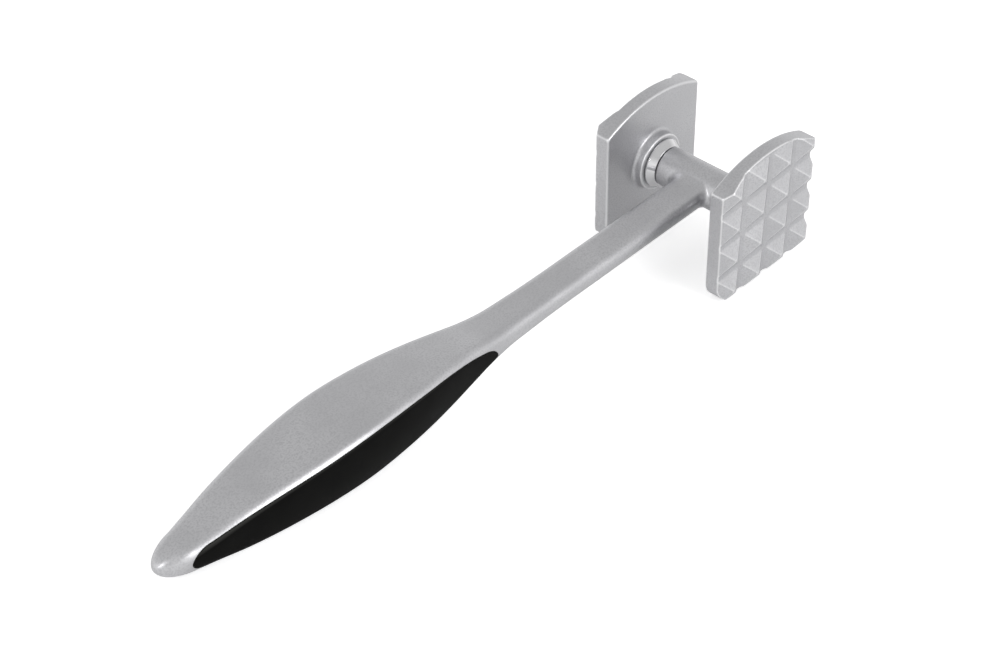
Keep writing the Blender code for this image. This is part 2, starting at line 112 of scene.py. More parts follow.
camera_data = bpy.data.cameras.new("camera")
camera_data.lens = LENS_MM
camera_data.sensor_width = SENSOR_MM
camera_data.clip_start = NEAREST_SEEN
camera = bpy.data.objects.new("camera", camera_data)
bpy.context.scene.collection.objects.link(camera)
aim = camera_axes(CAMERA_TURN, CAMERA_RISE, CAMERA_ROLL)
camera.matrix_world = mallet @ Matrix.Translation(CAMERA_PLACE) @ aim
bpy.context.scene.camera = camera
print("camera at", [round(c, 3) for c in camera.matrix_world.translation])

# %% [markdown]
# ## Wires and ranges
#
# A finish in Blender is a small tree of nodes: each node makes or changes a value, and wires
# carry it on to the next. Such trees can be drawn by hand in the shader editor. Here they are
# written, so that they come out the same each time, and these two steps are needed in nearly
# every one of them: a wire, and a node that stretches a value to another range.

# %% Helpers for node trees


def join(tree, source, target):
    """Link one node's output to another one's input."""
    tree.links.new(source, target)


def remap(tree, value, low, high, new_low, new_high):
    """Stretch a value from one range to another, and stop at the ends."""
    step = tree.nodes.new("ShaderNodeMapRange")
    step.inputs["From Min"].default_value = low
    step.inputs["From Max"].default_value = high
    step.inputs["To Min"].default_value = new_low
    step.inputs["To Max"].default_value = new_high
    join(tree, value, step.inputs["Value"])
    return step.outputs["Result"]


print("node helpers:", join.__name__, "and", remap.__name__)

# %% [markdown]
# ## Floor and backdrop
#
# The mallet lies on plain white paper. The paper is a pale diffuse surface that takes the
# mallet's shadow, and for the camera and for reflections a glow is added to it. That lifts the
# open paper to a clean white, the shadow right under the mallet stays, and the metal has
# something bright to mirror without more light on the mallet.

# %% Make the paper
PAPER = (0.88, 0.88, 0.88, 1)
PAPER_GLOW = 0.50
PAPER_GLOW_IN_METAL = 0.08


def paper_material():
    """Matt white paper that glows a little for the camera and for reflections."""
    material = bpy.data.materials.new("white_paper")
    material.use_nodes = True
    tree = material.node_tree
    tree.nodes.clear()
    output = tree.nodes.new("ShaderNodeOutputMaterial")
    matt = tree.nodes.new("ShaderNodeBsdfDiffuse")
    matt.inputs["Color"].default_value = PAPER
    rays = tree.nodes.new("ShaderNodeLightPath")
    glow = tree.nodes.new("ShaderNodeEmission")
    strength = remap(tree, rays.outputs["Is Camera Ray"], 0, 1, PAPER_GLOW_IN_METAL, PAPER_GLOW)
    join(tree, strength, glow.inputs["Strength"])
    bright = tree.nodes.new("ShaderNodeAddShader")
    join(tree, matt.outputs[0], bright.inputs[0])
    join(tree, glow.outputs[0], bright.inputs[1])
    seen = rays.outputs["Is Camera Ray"]
    for kind in ("Is Glossy Ray", "Is Transmission Ray"):
        either = tree.nodes.new("ShaderNodeMath")
        either.operation = "MAXIMUM"
        join(tree, seen, either.inputs[0])
        join(tree, rays.outputs[kind], either.inputs[1])
        seen = either.outputs[0]
    choice = tree.nodes.new("ShaderNodeMixShader")
    join(tree, seen, choice.inputs["Fac"])
    join(tree, matt.outputs[0], choice.inputs[1])
    join(tree, bright.outputs[0], choice.inputs[2])
    join(tree, choice.outputs[0], output.inputs["Surface"])
    return material


WHITE_PAPER = paper_material()
print("made", WHITE_PAPER.name, "with", len(WHITE_PAPER.node_tree.nodes), "nodes")

# %% [markdown]
# ## Lay the floor
#
# The floor is one flat sheet, wide enough that its edge never shows and that low side views still
# see paper to the horizon. It lies half a millimetre under the mallet, so that the softened
# corners it rests on don't flicker against it.

# %% Lay the floor
FLOOR_SIZE = 6
FLOOR_CELLS = 4
FLOOR_DROP = 0.5 * MM


def make_floor():
    """One flat sheet of paper, a little under the mallet."""
    grid = bmesh.new()
    bmesh.ops.create_grid(
        grid, x_segments=FLOOR_CELLS, y_segments=FLOOR_CELLS, size=FLOOR_SIZE / 2
    )
    mesh = bpy.data.meshes.new("floor")
    grid.to_mesh(mesh)
    grid.free()
    mesh.materials.append(WHITE_PAPER)
    floor = bpy.data.objects.new("floor", mesh)
    bpy.context.scene.collection.objects.link(floor)
    floor.location.z = -FLOOR_DROP
    return floor


floor = make_floor()
print("floor", FLOOR_SIZE, "m wide")

# %% [markdown]
# ## The room
#
# Metal shows its surroundings more than its own colour. In a studio, a tent of white paper
# stands round the mallet. Here the world does that: it is white at the horizon and greyer
# overhead, so the handle's top mirrors a grey ceiling and its sides mirror white walls.

# %% Make the room
WHITE = (1, 1, 1, 1)
WALL_LEVEL = 1.0
CEILING_LEVEL = 0.65
WALL_TOP = 0.15
CEILING_START = 0.55
bpy.context.scene.view_settings.view_transform = "Standard"


def white_room():
    """Light from all round: white at the horizon and greyer overhead."""
    world = bpy.data.worlds.new("white_room")
    world.use_nodes = True
    tree = world.node_tree
    direction = tree.nodes.new("ShaderNodeTexCoord").outputs["Generated"]
    parts = tree.nodes.new("ShaderNodeSeparateXYZ")
    join(tree, direction, parts.inputs[0])
    level = remap(tree, parts.outputs["Z"], WALL_TOP, CEILING_START, WALL_LEVEL, CEILING_LEVEL)
    join(tree, level, tree.nodes["Background"].inputs["Strength"])
    tree.nodes["Background"].inputs["Color"].default_value = WHITE
    return world


bpy.context.scene.world = white_room()
print("walls", WALL_LEVEL, "and ceiling", CEILING_LEVEL)

# %% [markdown]
# ## The lamps
#
# The main lamp stands on the mallet's right. It draws the white line beside the insert, where
# the grip turns from its top to its side, and it throws the near plate's shadow on the paper
# that the far plate mirrors. A small window lamp puts the bright spot on the nose. A bright spot
# on smooth metal says roughly where its lamp stands: in the direction in which that bit of
# metal mirrors the camera's view.

# %% Hang the lamps
MAIN_LAMP_PLACE = Vector((0.10, -0.83, 0.55))
MAIN_LAMP_SIDE = 0.46
MAIN_LAMP_WATTS = 2.9
WINDOW_LAMP_PLACE = Vector((-0.80, 0.10, 0.50))
WINDOW_LAMP_SIDE = 0.22
WINDOW_LAMP_WATTS = 1.2


def soft_lamp(name, place, side, power):
    """A square lamp that looks at the middle of the mallet."""
    data = bpy.data.lights.new(name, "AREA")
    data.shape = "RECTANGLE"
    data.size = data.size_y = side
    data.energy = power
    lamp = bpy.data.objects.new(name, data)
    bpy.context.scene.collection.objects.link(lamp)
    lamp.location = place
    lamp.rotation_euler = (-lamp.location).to_track_quat("-Z", "Y").to_euler()


soft_lamp("main_lamp", MAIN_LAMP_PLACE, MAIN_LAMP_SIDE, MAIN_LAMP_WATTS)
soft_lamp("window_lamp", WINDOW_LAMP_PLACE, WINDOW_LAMP_SIDE, WINDOW_LAMP_WATTS)

# %% [markdown]
# ## Helpers for finishes
#
# Every finish below is a Principled shader fed by a few noise textures. Four small helpers make
# those nodes, so that each finish reads as a short list of what varies and at what size. Sizes
# are in metres of the frame, so a pebble on a plate is as big as one on the handle.

# %% Helpers for finishes
NOISE_DETAIL = 2


def new_material(name):
    """A material with its node tree and its main shader."""
    material = bpy.data.materials.new(name)
    material.use_nodes = True
    return material, material.node_tree, material.node_tree.nodes["Principled BSDF"]


def noise(tree, size, detail, place):
    """A noise texture whose lumps are about that size, in metres of the frame."""
    texture = tree.nodes.new("ShaderNodeTexNoise")
    texture.inputs["Scale"].default_value = 1 / size
    texture.inputs["Detail"].default_value = detail
    join(tree, place, texture.inputs["Vector"])
    return texture.outputs["Fac"]


def blend_colours(tree, share, first, second):
    """Go from one colour to another as the share goes from 0 to 1."""
    mix = tree.nodes.new("ShaderNodeMix")
    mix.data_type = "RGBA"
    join(tree, share, mix.inputs["Factor"])
    for socket, colour in ((mix.inputs[6], first), (mix.inputs[7], second)):
        if isinstance(colour, tuple):
            socket.default_value = colour
        else:
            join(tree, colour, socket)
    return mix.outputs[2]


def bump(tree, height, depth, strength, under=None):
    """Relief of a depth in metres, on top of another relief if there is one."""
    step = tree.nodes.new("ShaderNodeBump")
    step.inputs["Distance"].default_value = depth
    step.inputs["Strength"].default_value = strength
    join(tree, height, step.inputs["Height"])
    if under is not None:
        join(tree, under, step.inputs["Normal"])
    return step.outputs["Normal"]


print("helpers ready; the scene has", len(bpy.data.materials), "materials so far")

# %% [markdown]
# ## Cast aluminium
#
# The handle and plates are aluminium castings, tumbled until they have an even satin skin. A
# casting could be painted as flat grey metal, but the real skin has three scales: slow patches
# where it was rubbed more, a fine pebble from tumbling with slightly darker pits, and lighter
# ridges. Three noise textures give the first two. The lighter ridges are partly wear and partly
# a painted highlight, which stands in for the bright lines that light draws along the teeth's
# ridges. They come from a value that each plate stores in its own vertices further down,
# because the Pointiness output gets blotchy on a fine even grid.

# %% Make the cast aluminium
ALUMINIUM = (0.57, 0.57, 0.585, 1)
ALUMINIUM_PALE = (0.62, 0.62, 0.635, 1)
# lighter colour on the ridges: part wear, part painted highlight
ALUMINIUM_WORN_HIGHLIGHT = (0.85, 0.85, 0.86, 1)
ALUMINIUM_PITS = (0.52, 0.52, 0.535, 1)
PATCH_SIZE = 14 * MM
PATCH_RANGE = (0.35, 0.65)
PEBBLE_SIZE = 0.55 * MM
PEBBLE_DETAIL = 3
PEBBLE_DEPTH = 0.04 * MM
PEBBLE_STRENGTH = 0.4
PIT_RANGE = (0.56, 0.36)
GRAIN_SIZE = 0.22 * MM
GRAIN_DETAIL = 1
GRAIN_DEPTH = 0.015 * MM
GRAIN_STRENGTH = 0.3
HAZE_RANGE = (0.3, 0.7)
SATIN_ROUGHNESS = (0.36, 0.44)
# the stored ridge value, which lightens the colour as wear and as a painted highlight
WEAR_HIGHLIGHT = "wear_and_highlight"
WEAR_HIGHLIGHT_RANGE = (0.25, 0.9)


def cast_aluminium():
    """Satin metal with slow patches, a fine pitted pebble, and lighter edges that are partly worn
    and partly a painted highlight.
    """
    material, tree, shader = new_material("cast_aluminium")
    place = tree.nodes.new("ShaderNodeTexCoord").outputs["Object"]
    patches = noise(tree, PATCH_SIZE, NOISE_DETAIL, place)
    pebble = noise(tree, PEBBLE_SIZE, PEBBLE_DETAIL, place)
    grain = noise(tree, GRAIN_SIZE, GRAIN_DETAIL, place)
    ridges = tree.nodes.new("ShaderNodeAttribute")
    ridges.attribute_name = WEAR_HIGHLIGHT

    pale = remap(tree, patches, *PATCH_RANGE, 0, 1)
    skin = blend_colours(tree, pale, ALUMINIUM, ALUMINIUM_PALE)
    pits = remap(tree, pebble, *PIT_RANGE, 0, 1)
    skin = blend_colours(tree, pits, skin, ALUMINIUM_PITS)
    # the ridges' lighter colour is part wear and part painted highlight along the teeth
    worn = remap(tree, ridges.outputs["Fac"], *WEAR_HIGHLIGHT_RANGE, 0, 1)
    join(tree, blend_colours(tree, worn, skin, ALUMINIUM_WORN_HIGHLIGHT), shader.inputs["Base Color"])
    shader.inputs["Metallic"].default_value = 1
    satin = remap(tree, patches, *HAZE_RANGE, *SATIN_ROUGHNESS)
    join(tree, satin, shader.inputs["Roughness"])
    coarse = bump(tree, pebble, PEBBLE_DEPTH, PEBBLE_STRENGTH)
    fine = bump(tree, grain, GRAIN_DEPTH, GRAIN_STRENGTH, coarse)
    join(tree, fine, shader.inputs["Normal"])
    return material


CAST_ALUMINIUM = cast_aluminium()
print("made", CAST_ALUMINIUM.name, "with", len(CAST_ALUMINIUM.node_tree.nodes), "nodes")

# %% [markdown]
# ## Polished and plain steel
#
# The collars are polished, so they mirror the plates beside them, with only faint turning marks
# left from the lathe. The studs inside are plain turned steel. Both are one recipe with other
# numbers: a wave texture in rings along the crossbar for the marks, and a noise for the haze.

# %% Make both steels
POLISHED = (0.74, 0.74, 0.75, 1)
POLISHED_ROUGHNESS = 0.07
POLISHED_MARKS = 0.004 * MM
TURNED = (0.42, 0.42, 0.43, 1)
TURNED_ROUGHNESS = 0.28
TURNED_MARKS = 0.02 * MM
MARK_SPACING = 6 * MM
MARK_WANDER = 0.4
MARK_STRENGTH = 0.2
HAZE_SIZE = 3 * MM
HAZE_GAIN = 1.5


def steel(name, colour, roughness, mark_depth):
    """Turned steel: fine rings along the crossbar's axis, and a little haze."""
    material, tree, shader = new_material(name)
    place = tree.nodes.new("ShaderNodeTexCoord").outputs["Object"]
    marks = tree.nodes.new("ShaderNodeTexWave")
    marks.bands_direction = "Y"
    marks.inputs["Scale"].default_value = 1 / MARK_SPACING
    marks.inputs["Distortion"].default_value = MARK_WANDER
    join(tree, place, marks.inputs["Vector"])
    haze = noise(tree, HAZE_SIZE, NOISE_DETAIL, place)
    shader.inputs["Base Color"].default_value = colour
    shader.inputs["Metallic"].default_value = 1
    spread = remap(tree, haze, *HAZE_RANGE, roughness, roughness * HAZE_GAIN)
    join(tree, spread, shader.inputs["Roughness"])
    rings = bump(tree, marks.outputs["Fac"], mark_depth, MARK_STRENGTH)
    join(tree, rings, shader.inputs["Normal"])
    return material


POLISHED_STEEL = steel("polished_steel", POLISHED, POLISHED_ROUGHNESS, POLISHED_MARKS)
TURNED_STEEL = steel("turned_steel", TURNED, TURNED_ROUGHNESS, TURNED_MARKS)
print("made", POLISHED_STEEL.name, "and", TURNED_STEEL.name)

# %% [markdown]
# ## Soft black
#
# The grip inserts are a rubbery moulding: nearly black and hardly shiny, with fine pores and
# patches that hands have rubbed. The greyer band that the photograph shows under the insert's
# upper edge is painted sheen: where the rubber faces up, its colour turns grey as if it caught
# the light. The height of the surface's normal says where that painted sheen lies.

# %% Make the soft black
SOFT_BLACK = (0.0045, 0.0045, 0.0043, 1)
SOFT_BLACK_RUBBED = (0.0065, 0.0065, 0.0062, 1)
# grey of the painted sheen on rubber that faces up
SOFT_BLACK_PAINTED_SHEEN = (0.036, 0.036, 0.034, 1)
SOFT_BLACK_SHINE = 0.03
SOFT_BLACK_ROUGHNESS = (0.40, 0.50)
RUBBED_SIZE = 9 * MM
RUBBED_RANGE = (0.4, 0.7)
# how far up the normal must point before the painted sheen starts and is full
PAINTED_SHEEN_RANGE = (0.22, 0.48)
PORE_SIZE = 0.35 * MM
PORE_DEPTH = 0.03 * MM
PORE_STRENGTH = 0.3


def soft_black():
    """Dull black rubber with fine pores, rubbed patches and a painted sheen where it faces up."""
    material, tree, shader = new_material("soft_black")
    place = tree.nodes.new("ShaderNodeTexCoord").outputs["Object"]
    rubbed = noise(tree, RUBBED_SIZE, NOISE_DETAIL, place)
    pores = noise(tree, PORE_SIZE, NOISE_DETAIL, place)
    # painted sheen: the colour turns grey where the surface faces up, in place of light caught
    # along the upper margin
    parts = tree.nodes.new("ShaderNodeSeparateXYZ")
    join(tree, tree.nodes.new("ShaderNodeNewGeometry").outputs["Normal"], parts.inputs[0])
    painted_sheen = remap(tree, parts.outputs["Z"], *PAINTED_SHEEN_RANGE, 0, 1)
    worn = remap(tree, rubbed, *RUBBED_RANGE, 0, 1)
    black = blend_colours(tree, worn, SOFT_BLACK, SOFT_BLACK_RUBBED)
    join(tree, blend_colours(tree, painted_sheen, black, SOFT_BLACK_PAINTED_SHEEN), shader.inputs["Base Color"])
    shader.inputs["Specular IOR Level"].default_value = SOFT_BLACK_SHINE
    dull = remap(tree, rubbed, *HAZE_RANGE, *SOFT_BLACK_ROUGHNESS)
    join(tree, dull, shader.inputs["Roughness"])
    join(tree, bump(tree, pores, PORE_DEPTH, PORE_STRENGTH), shader.inputs["Normal"])
    return material


SOFT_TOUCH_BLACK = soft_black()
print("materials:", [item.name for item in bpy.data.materials])

# %% [markdown]
# ## Combine solids
#
# A piece is made as a machinist would: a blank, something joined to it, something cut away.
# Blender does that with Boolean modifiers. The helpers put a mesh on an object, give it the
# modifiers, read the result back as a mesh and clear up after themselves.

# %% Helpers that combine solids


def hold(name, mesh):
    """Put a mesh on an object in the scene."""
    item = bpy.data.objects.new(name, mesh)
    bpy.context.scene.collection.objects.link(item)
    return item


def mesh_from(name, shape):
    """Turn a bmesh into a mesh with its faces looking outwards."""
    bmesh.ops.recalc_face_normals(shape, faces=shape.faces)
    mesh = bpy.data.meshes.new(name)
    shape.to_mesh(mesh)
    shape.free()
    return mesh


def applied(item):
    """Apply an object's modifiers, remove it and give its mesh in the mallet's axes."""
    bpy.context.view_layer.update()
    graph = bpy.context.evaluated_depsgraph_get()
    mesh = bpy.data.meshes.new_from_object(item.evaluated_get(graph))
    mesh.transform(item.matrix_world)
    bpy.data.objects.remove(item, do_unlink=True)
    return mesh


def combined(name, base, steps):
    """Join, cut or intersect a mesh with others, in order."""
    item = hold(name, base)
    others = []
    for operation, mesh in steps:
        other = hold(f"{name}_{operation.lower()}", mesh)
        others.append(other)
        step = item.modifiers.new(operation.lower(), "BOOLEAN")
        step.operation = operation
        step.solver = "EXACT"
        step.object = other
    mesh = applied(item)
    for other in others:
        bpy.data.objects.remove(other, do_unlink=True)
    return mesh


print("meshes in the frame and on the floor:", len(bpy.data.meshes))

# %% [markdown]
# ## Soft edges all over
#
# A tumbled casting has no sharp edge anywhere. Bevelling each edge by hand is slow where a
# pyramid meets a curved outline, so the pieces are built crisp and then softened as a whole:
# a Remesh modifier turns the solid into an even fine grid, and a Smooth modifier lets every
# corner settle. The size of the grid sets how soft the edges get. The second helper dresses one
# CAD node with a finished mesh.

# %% Helpers that soften a solid and dress a node
SMOOTH_SHARE = 0.5
SHARPEST = math.radians(40)


def softened(name, mesh, grid, passes):
    """The same solid on an even grid, with every edge rounded by a few grid steps."""
    item = hold(name, mesh)
    remesh = item.modifiers.new("even grid", "REMESH")
    remesh.mode = "VOXEL"
    remesh.voxel_size = grid
    settle = item.modifiers.new("settle", "SMOOTH")
    settle.factor = SMOOTH_SHARE
    settle.iterations = passes
    return applied(item)


def add_piece(name, mesh, node, material):
    """Dress one CAD node: place the mesh, give it its finish and let it ride on its body."""
    mesh.transform(mallet)
    mesh.shade_smooth()
    mesh.set_sharp_from_angle(angle=SHARPEST)
    mesh.materials.clear()
    mesh.materials.append(material)
    piece = hold(name, mesh)
    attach(piece, "root")
    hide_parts(node)
    print(name, "has", len(mesh.polygons), "faces")


print("edges sharper than", round(math.degrees(SHARPEST)), "degrees stay crisp")

# %% [markdown]
# ## The handle's profile
#
# Seen from above and from the side the handle is slim at the head, swells into a grip and gets
# slim again at the nose. A table of shares holds that swelling: 0 is the shank's size and 1 the
# full grip. A smooth curve runs through each column, as a maker would draw it with a spline.
# The long edges are rounder at the nose than at the full grip, where the hand closes on them.

# %% Describe how the handle's width and height run
HANDLE_REACH = 227.6 * MM
SHANK_WIDTH = 12.9 * MM
SHANK_HEIGHT = 7.1 * MM
SHANK_EDGE_RADIUS = 3.1 * MM
NOSE_EDGE_GAIN = 0.9 * MM
NOSE_EDGE_END = 0.33
ROUNDEST_EDGE = 0.94
GRIP_WIDTH = 24.3 * MM
GRIP_HEIGHT = 17.8 * MM
GRIP_EDGE_RADIUS = 1.9 * MM
GRIP_SIDE_BULGE = 1.3 * MM
GRIP_CROWN = 0.7 * MM
GRIP_RISE = 1.3 * MM
NOSE_LENGTH = 9.0 * MM
CROSSBAR_RADIUS = 6.65 * MM
NECK_BLEND_RADIUS = 9.0 * MM
NECK_FILLET = 2.6 * MM
NECK_FLARE_FADE = 0.75
NECK_SINK = 0.06 * MM

# distance from the nose, width share, height share
HANDLE_PROFILE = np.array((
    (0.000, -0.24, 0.07),
    (0.035, -0.06, 0.15),
    (0.070, 0.13, 0.32),
    (0.110, 0.35, 0.58),
    (0.150, 0.56, 0.745),
    (0.190, 0.75, 0.845),
    (0.240, 0.93, 0.93),
    (0.295, 1.00, 1.00),
    (0.360, 0.90, 0.955),
    (0.410, 0.73, 0.86),
    (0.455, 0.50, 0.75),
    (0.500, 0.27, 0.54),
    (0.535, 0.15, 0.29),
    (0.570, 0.08, 0.10),
    (0.620, 0.03, 0.03),
    (0.780, 0.00, 0.00),
    (1.000, 0.00, 0.00),
))
print("the handle's profile has", len(HANDLE_PROFILE), "rows")

# %% [markdown]
# ## A smooth curve through the table
#
# Straight lines between the table's rows would leave faint creases across the grip. A cubic
# curve between each two rows, with the slope that its neighbours give, has none. The nose is
# closed with a quarter of an ellipse, which starts blunt and ends level.

# %% Curves for the profile and for round ends


def profile_share(along, column):
    """The smooth curve through one column of the profile, at a share of the reach."""
    places = HANDLE_PROFILE[:, 0]
    values = HANDLE_PROFILE[:, column]
    slopes = np.gradient(values, places)
    left = int(np.clip(np.searchsorted(places, along) - 1, 0, len(places) - 2))
    span = places[left + 1] - places[left]
    t = (along - places[left]) / span
    start = values[left] * (1 + 2 * t) * (1 - t) ** 2 + slopes[left] * span * t * (1 - t) ** 2
    stop = values[left + 1] * t * t * (3 - 2 * t) + slopes[left + 1] * span * t * t * (t - 1)
    return start + stop


def rounding(distance, length):
    """Rises from 0 to 1 over a length, like a quarter of an ellipse."""
    share = min(max(distance / length, 0), 1)
    return math.sqrt(1 - (1 - share) ** 2)


print("width share a quarter of the way up:", round(float(profile_share(0.25, 1)), 3))

# %% [markdown]
# ## The neck
#
# Close to the head the flat shank grows taller until it meets the round crossbar on a wide
# fillet, and its sides flare out on a small one. Both fillets are parts of circles. The tall
# one's ends follow from its radius and the bar's. The small one starts at the bar's surface,
# which lies farther back higher up, so the flare is worked out for each height, and it fades
# towards the shank's top and bottom, where it would stand up as a knob.

# %% Work out the neck's fillets
NECK_CLOSE = CROSSBAR_RADIUS - NECK_SINK
neck_drop = SHANK_HEIGHT / 2 + NECK_BLEND_RADIUS
NECK_START = -math.sqrt((NECK_CLOSE + NECK_BLEND_RADIUS) ** 2 - neck_drop**2)
NECK_END = NECK_START * NECK_CLOSE / (NECK_CLOSE + NECK_BLEND_RADIUS)
print("the neck's fillet starts at", round(NECK_START / MM, 1), "mm")
print("and ends at", round(NECK_END / MM, 1), "mm")


def neck_growth(x):
    """What the neck adds to the shank's half height."""
    into_blend = x - NECK_START
    if 0 < into_blend <= NECK_END - NECK_START + WELD:
        return NECK_BLEND_RADIUS - math.sqrt(NECK_BLEND_RADIUS**2 - into_blend**2)
    return 0


def neck_flare(x, height):
    """How far the flank stands out at a height, to meet the crossbar's surface there."""
    bar_front = -math.sqrt(CROSSBAR_RADIUS**2 - height**2)
    into_fillet = x - bar_front + NECK_FILLET
    if into_fillet <= 0:
        return 0
    if into_fillet < NECK_FILLET:
        return NECK_FILLET - math.sqrt(NECK_FILLET**2 - into_fillet**2)
    return NECK_FILLET * x / bar_front


def handle_size(x):
    """Half width, half height, edge radius, fullness and centre height of the handle at x."""
    along = (x + HANDLE_REACH) / HANDLE_REACH
    wide = profile_share(along, 1)
    tall = profile_share(along, 2)
    full = min(max(wide, 0), 1)
    nose = rounding(x + HANDLE_REACH, NOSE_LENGTH)
    half_width = (SHANK_WIDTH + (GRIP_WIDTH - SHANK_WIDTH) * wide) / 2 * nose
    half_height = (SHANK_HEIGHT + (GRIP_HEIGHT - SHANK_HEIGHT) * tall) / 2 * nose + neck_growth(x)
    radius = SHANK_EDGE_RADIUS + (GRIP_EDGE_RADIUS - SHANK_EDGE_RADIUS) * full
    radius += NOSE_EDGE_GAIN * max(1 - along / NOSE_EDGE_END, 0) ** 2
    radius = min(radius * nose, ROUNDEST_EDGE * half_height)
    return half_width, half_height, radius, full, GRIP_RISE * full


# %% [markdown]
# ## One cross-section
#
# Cut across, the handle is a rectangle with round corners, whose sides bulge and whose top is
# crowned where the grip is full. The points run round it in order, corner by corner with even
# steps between, so that point 7 of one section meets point 7 of the next one.

# %% Draw one cross-section
SECTION_CORNER_STEPS = 10
SECTION_SIDE_STEPS = 10


def handle_ring(x):
    """The points of one cross-section."""
    half_width, half_height, radius, full, centre = handle_size(x)
    points = []
    for quarter, (side, up) in enumerate(((1, 1), (-1, 1), (-1, -1), (1, -1))):
        for step in range(SECTION_CORNER_STEPS + 1):
            angle = (quarter + step / SECTION_CORNER_STEPS) * math.pi / 2
            across = side * (half_width - radius) + radius * math.cos(angle)
            rise = up * (half_height - radius) + radius * math.sin(angle)
            points.append((across, rise))
    corner = SECTION_CORNER_STEPS + 1
    ring = []
    for quarter in range(4):
        ring.extend(points[quarter * corner:(quarter + 1) * corner])
        first = Vector(ring[-1])
        last = Vector(points[(quarter + 1) * corner % len(points)])
        for i in range(1, SECTION_SIDE_STEPS):
            ring.append(tuple(first.lerp(last, i / SECTION_SIDE_STEPS)))
    shaped = []
    for across, rise in ring:
        bulge = GRIP_SIDE_BULGE * full * (1 - (rise / half_height) ** 2) * across / half_width
        crown = GRIP_CROWN * full * (1 - (across / half_width) ** 2) * rise / half_height
        flare = neck_flare(x, rise) * across / half_width if x > NECK_START - WELD else 0
        flare *= 1 - NECK_FLARE_FADE * (rise / half_height) ** 2
        shaped.append((x, across + bulge + flare, centre + rise + crown))
    return shaped


print("a section has", len(handle_ring(0)), "points")

# %% [markdown]
# ## Loft the handle
#
# A loft is a row of cross-sections with faces between them. The sections lie closer together at
# the nose and at the neck, where the shape changes quickly. The nose closes on a single point
# and the other end, which hides inside the crossbar, on one flat face.

# %% Loft the handle
NOSE_RINGS = 24
GRIP_RINGS = 150
SHANK_RINGS = 30
NECK_RINGS = 24
GRIP_END_SHARE = 0.62


def handle_places():
    """Where the cross-sections stand along the handle."""
    nose_end = NOSE_LENGTH - HANDLE_REACH
    grip_end = HANDLE_REACH * (GRIP_END_SHARE - 1)
    nose = [1 - math.cos(i / NOSE_RINGS * math.pi / 2) for i in range(1, NOSE_RINGS)]
    places = [NOSE_LENGTH * share - HANDLE_REACH for share in nose]
    places.extend(np.linspace(nose_end, grip_end, GRIP_RINGS))
    places.extend(np.linspace(grip_end, NECK_START, SHANK_RINGS)[1:])
    places.extend(np.linspace(NECK_START, -CROSSBAR_RADIUS, NECK_RINGS)[1:])
    places.extend(np.linspace(-CROSSBAR_RADIUS, NECK_END, NECK_RINGS)[1:])
    places.append(0)
    return places


def handle_loft():
    """The whole handle as one closed mesh."""
    loft = bmesh.new()
    nose = loft.verts.new((-HANDLE_REACH, 0, 0))
    rings = [[loft.verts.new(point) for point in handle_ring(x)] for x in handle_places()]
    count = len(rings[0])
    for i in range(count):
        loft.faces.new((nose, rings[0][i], rings[0][(i + 1) % count]))
    for near, far in zip(rings, rings[1:]):
        for i in range(count):
            after = (i + 1) % count
            loft.faces.new((near[i], far[i], far[after], near[after]))
    loft.faces.new(rings[-1])
    return mesh_from("handle_loft", loft)


print("the loft has", len(handle_places()), "sections")

# %% [markdown]
# ## Where an insert lies along the grip
#
# Each soft insert starts just behind the nose and ends where the grip has become the shank. The
# places where its outline is worked out lie close together at its two round tips, because a
# round end needs more points than a long edge. A slab between two such rows makes it a solid.

# %% Lay out an insert
INSERT_START_SHARE = 0.036
INSERT_END_SHARE = 0.548
INSERT_NOSE_ROUNDING = 6.0 * MM
INSERT_NECK_ROUNDING = 5.0 * MM
INSERT_TIP_STEPS = 24
INSERT_STEPS = 90


def insert_places(gap):
    """Where an insert's outline is worked out, from its nose tip to its neck tip."""
    start = HANDLE_REACH * (INSERT_START_SHARE - 1) + gap
    stop = HANDLE_REACH * (INSERT_END_SHARE - 1) - gap
    nose_end = start + INSERT_NOSE_ROUNDING
    neck_start = stop - INSERT_NECK_ROUNDING
    quarter = [1 - math.cos(i / INSERT_TIP_STEPS * math.pi / 2) for i in range(INSERT_TIP_STEPS)]
    places = [start + INSERT_NOSE_ROUNDING * share for share in quarter]
    places.extend(np.linspace(nose_end, neck_start, INSERT_STEPS))
    places.extend(stop - INSERT_NECK_ROUNDING * share for share in reversed(quarter))
    return places


def slab(name, lower, upper, inner, outer):
    """A solid between two rows of (x, z) points, from one y to another at each point."""
    shape = bmesh.new()
    rows = []
    for row, depths in ((lower, inner), (upper, inner), (upper, outer), (lower, outer)):
        rows.append([shape.verts.new((x, y, z)) for (x, z), y in zip(row, depths)])
    for row, after in zip(rows, rows[1:] + rows[:1]):
        for i in range(len(row) - 1):
            shape.faces.new((row[i], row[i + 1], after[i + 1], after[i]))
    for end in (0, -1):
        shape.faces.new([row[end] for row in rows])
    bmesh.ops.remove_doubles(shape, verts=shape.verts, dist=WELD)
    return mesh_from(name, shape)


insert_length = HANDLE_REACH * (INSERT_END_SHARE - INSERT_START_SHARE)
print("an insert is", round(insert_length / MM), "mm long")

# %% [markdown]
# ## The inserts' lens
#
# Seen from the side, each soft insert is a long lens that keeps the same distance to the grip's
# top and bottom edges and closes on two round ends. Towards the shank its upper edge comes down
# a little more. The pocket in the casting and the insert use one outline, and the insert's is
# smaller by the fine gap that shows between them.

# %% Draw the lens and its depth
INSERT_RIM = 1.3 * MM
INSERT_DROP = 2.0 * MM
INSERT_DROP_START = 0.36
INSERT_DEPTH = 3.0 * MM
INSERT_GAP = 0.3 * MM
OVERRUN = 4 * MM


